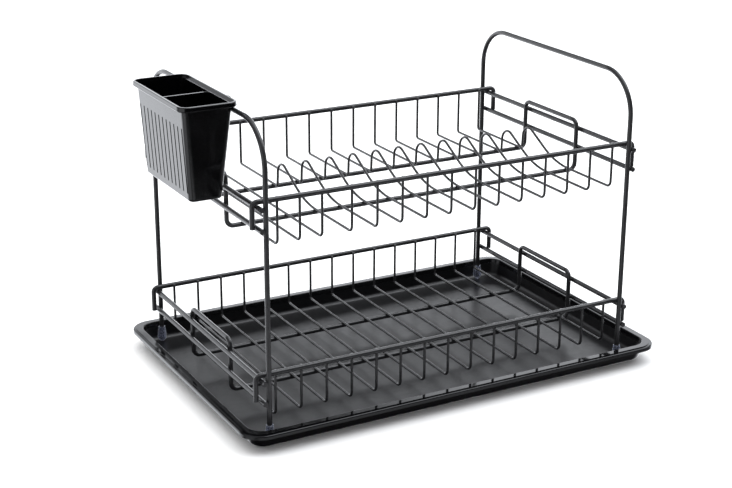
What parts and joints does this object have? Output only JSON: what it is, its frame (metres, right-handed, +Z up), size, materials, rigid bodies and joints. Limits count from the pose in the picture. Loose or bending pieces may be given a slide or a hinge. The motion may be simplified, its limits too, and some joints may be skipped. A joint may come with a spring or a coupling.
{
  "type": "dish drying rack",
  "caption": "Two-tier wire dish drying rack with lift-out baskets, wire hoops at the ends, a slotted cutlery holder and a drip tray.",
  "frame": {"origin": "middle of the drip tray's flat underside", "axes": "+Z up, +X along the rack's length towards the end without the cutlery holder, -Y towards the front, where the plate dividers slope down"},
  "size_m": [0.4977, 0.3146, 0.316],
  "materials": {
    "frame_wire": "satin black coating",
    "dish_wire": "satin black coating",
    "tray": "satin charcoal plastic",
    "holder": "gloss black plastic",
    "cap": "clear soft plastic"
  },
  "bodies": {
    "drip_tray": {"drip_tray": "tray"},
    "rack_frame": {"left_end_hoop": "frame_wire", "right_end_hoop": "frame_wire", "left_lower_seat_rod": "frame_wire", "left_lower_stay_rod": "frame_wire", "left_upper_seat_rod": "frame_wire", "left_upper_stay_rod": "frame_wire", "right_lower_seat_rod": "frame_wire", "right_lower_stay_rod": "frame_wire", "right_upper_seat_rod": "frame_wire", "right_upper_stay_rod": "frame_wire", "front_left_foot_cap": "cap", "back_left_foot_cap": "cap", "front_right_foot_cap": "cap", "back_right_foot_cap": "cap"},
    "lower_basket": {"lower_front_rail": "frame_wire", "lower_back_rail": "frame_wire", "lower_bed_loop": "frame_wire", "lower_dish_wire_01": "dish_wire", "lower_dish_wire_02": "dish_wire", "lower_dish_wire_03": "dish_wire", "lower_dish_wire_04": "dish_wire", "lower_dish_wire_05": "dish_wire", "lower_dish_wire_06": "dish_wire", "lower_dish_wire_07": "dish_wire", "lower_dish_wire_08": "dish_wire", "lower_dish_wire_09": "dish_wire", "lower_dish_wire_10": "dish_wire", "lower_dish_wire_11": "dish_wire", "lower_dish_wire_12": "dish_wire", "lower_dish_wire_13": "dish_wire", "lower_dish_wire_14": "dish_wire", "lower_dish_wire_15": "dish_wire"},
    "upper_basket": {"upper_front_rail": "frame_wire", "upper_back_rail": "frame_wire", "upper_bed_loop": "frame_wire", "upper_dish_wire_01": "dish_wire", "upper_dish_wire_02": "dish_wire", "upper_dish_wire_03": "dish_wire", "upper_dish_wire_04": "dish_wire", "upper_dish_wire_05": "dish_wire", "upper_dish_wire_06": "dish_wire", "upper_dish_wire_07": "dish_wire", "upper_dish_wire_08": "dish_wire", "upper_dish_wire_09": "dish_wire", "upper_dish_wire_10": "dish_wire", "upper_dish_wire_11": "dish_wire", "upper_dish_wire_12": "dish_wire", "upper_dish_wire_13": "dish_wire", "upper_dish_wire_14": "dish_wire", "upper_dish_wire_15": "dish_wire"},
    "cutlery_holder": {"cutlery_holder": "holder"}
  },
  "joints": [
    {"name": "rack_lift", "type": "slide", "parent": "drip_tray", "child": "rack_frame", "axis": [0, 0, 1], "range_m": [0, 0.06]},
    {"name": "lower_basket_lift", "type": "slide", "parent": "rack_frame", "child": "lower_basket", "axis": [0, 0, 1], "range_m": [0, 0.04]},
    {"name": "upper_basket_lift", "type": "slide", "parent": "rack_frame", "child": "upper_basket", "axis": [0, 0, 1], "range_m": [0, 0.03]},
    {"name": "cutlery_holder_lift", "type": "slide", "parent": "rack_frame", "child": "cutlery_holder", "axis": [0, 0, 1], "range_m": [0, 0.04]}
  ]
}
